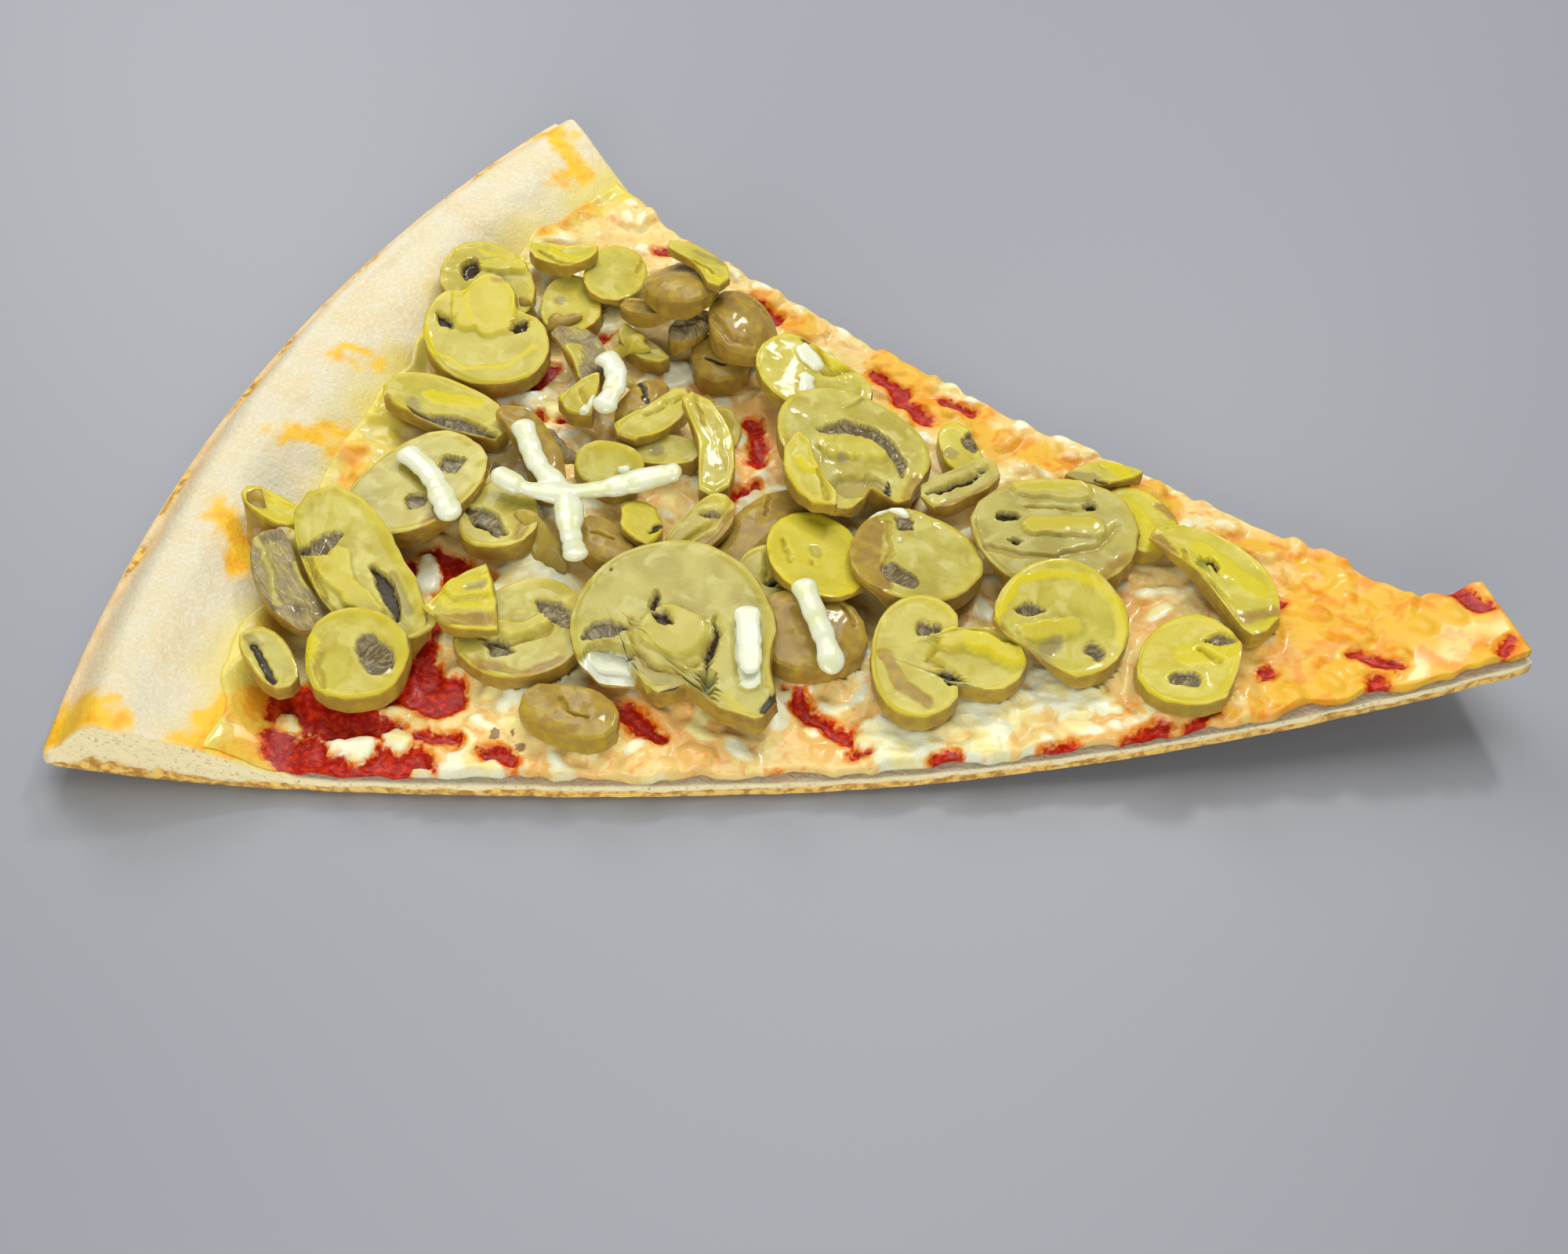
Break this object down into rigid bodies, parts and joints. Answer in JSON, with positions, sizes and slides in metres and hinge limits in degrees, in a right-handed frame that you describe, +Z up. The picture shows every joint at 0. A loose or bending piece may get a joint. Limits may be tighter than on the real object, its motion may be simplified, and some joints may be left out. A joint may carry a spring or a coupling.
{
  "type": "pizza slice",
  "caption": "Thin-crust triangular pizza slice with a curved rim, sauce, melted cheese and overlapping cut mushroom pieces, lying flat with a curled tip.",
  "frame": {"origin": "on the flat underside of the crust, halfway along the slice and near the middle of its width; the slice rests there", "axes": "+X along the slice from the rim towards the torn tip, +Y across the slice towards its hollow cut edge, +Z up out of the toppings"},
  "size_m": [0.2563, 0.2005, 0.0267],
  "materials": {
    "dough": "baked dough, dusted with flour, golden at its edges",
    "sauce": "wet red tomato sauce",
    "cheese": "melted cheese, oily, with browned spots",
    "melted_cheese": "white melted cheese strings, glossy",
    "mushroom_flesh": "moist yellow-olive cut mushroom",
    "mushroom_skin": "moist tan mushroom skin",
    "mushroom_gills": "dark fibrous mushroom gills"
  },
  "bodies": {
    "root": {"cheese": "cheese", "dough": "dough", "mushroom_arch_left": "mushroom_flesh", "mushroom_arch_right": "mushroom_flesh", "mushroom_arched_whole": "mushroom_flesh", "mushroom_back_disc": "mushroom_flesh", "mushroom_bent_stem": "mushroom_flesh", "mushroom_big_oval": "mushroom_flesh", "mushroom_bright_oval": "mushroom_flesh", "mushroom_brown_cap": "mushroom_skin", "mushroom_cap_quarter": "mushroom_flesh", "mushroom_cheesy_crescent": "mushroom_flesh", "mushroom_corner_scrap": "mushroom_flesh", "mushroom_crumpled_scrap": "mushroom_flesh", "mushroom_curved_slice": "mushroom_flesh", "mushroom_dark_cap": "mushroom_gills", "mushroom_dark_gills": "mushroom_gills", "mushroom_elbow_slice": "mushroom_flesh", "mushroom_gap_cut": "mushroom_flesh", "mushroom_gill_slice": "mushroom_gills", "mushroom_gill_strip": "mushroom_flesh", "mushroom_gilled_cap": "mushroom_flesh", "mushroom_grey_scrap": "mushroom_flesh", "mushroom_hat": "mushroom_flesh", "mushroom_hidden_slab": "mushroom_flesh", "mushroom_horned_cut": "mushroom_flesh", "mushroom_knobbly_scrap": "mushroom_flesh", "mushroom_largest_whole": "mushroom_flesh", "mushroom_leaf_disc": "mushroom_flesh", "mushroom_leafy_dome": "mushroom_skin", "mushroom_long_cut": "mushroom_flesh", "mushroom_lower_dome": "mushroom_skin", "mushroom_mustard_oval": "mushroom_skin", "mushroom_pale_crescent": "mushroom_flesh", "mushroom_ragged_scrap": "mushroom_flesh", "mushroom_ragged_shard": "mushroom_flesh", "mushroom_rimmed_cap": "mushroom_flesh", "mushroom_ring_cut": "mushroom_flesh", "mushroom_round_cut": "mushroom_flesh", "mushroom_sheer_disc": "mushroom_flesh", "mushroom_skin_band": "mushroom_skin", "mushroom_slit_disc": "mushroom_flesh", "mushroom_small_oval": "mushroom_flesh", "mushroom_spot_disc": "mushroom_flesh", "mushroom_streaked_cut": "mushroom_flesh", "mushroom_tall_disc": "mushroom_flesh", "mushroom_tan_band": "mushroom_skin", "mushroom_tan_crescent": "mushroom_skin", "mushroom_tan_disc": "mushroom_skin", "mushroom_tan_slice": "mushroom_skin", "mushroom_two_hole_cut": "mushroom_flesh", "mushroom_window_cut": "mushroom_flesh", "mushroom_wrinkled_dome": "mushroom_skin", "mushroom_yellow_end": "mushroom_flesh", "sauce": "sauce", "strand_cap": "melted_cheese", "strand_corner": "melted_cheese", "strand_cross": "melted_cheese", "strand_disc": "melted_cheese", "strand_oval": "melted_cheese"}
  },
  "joints": []
}
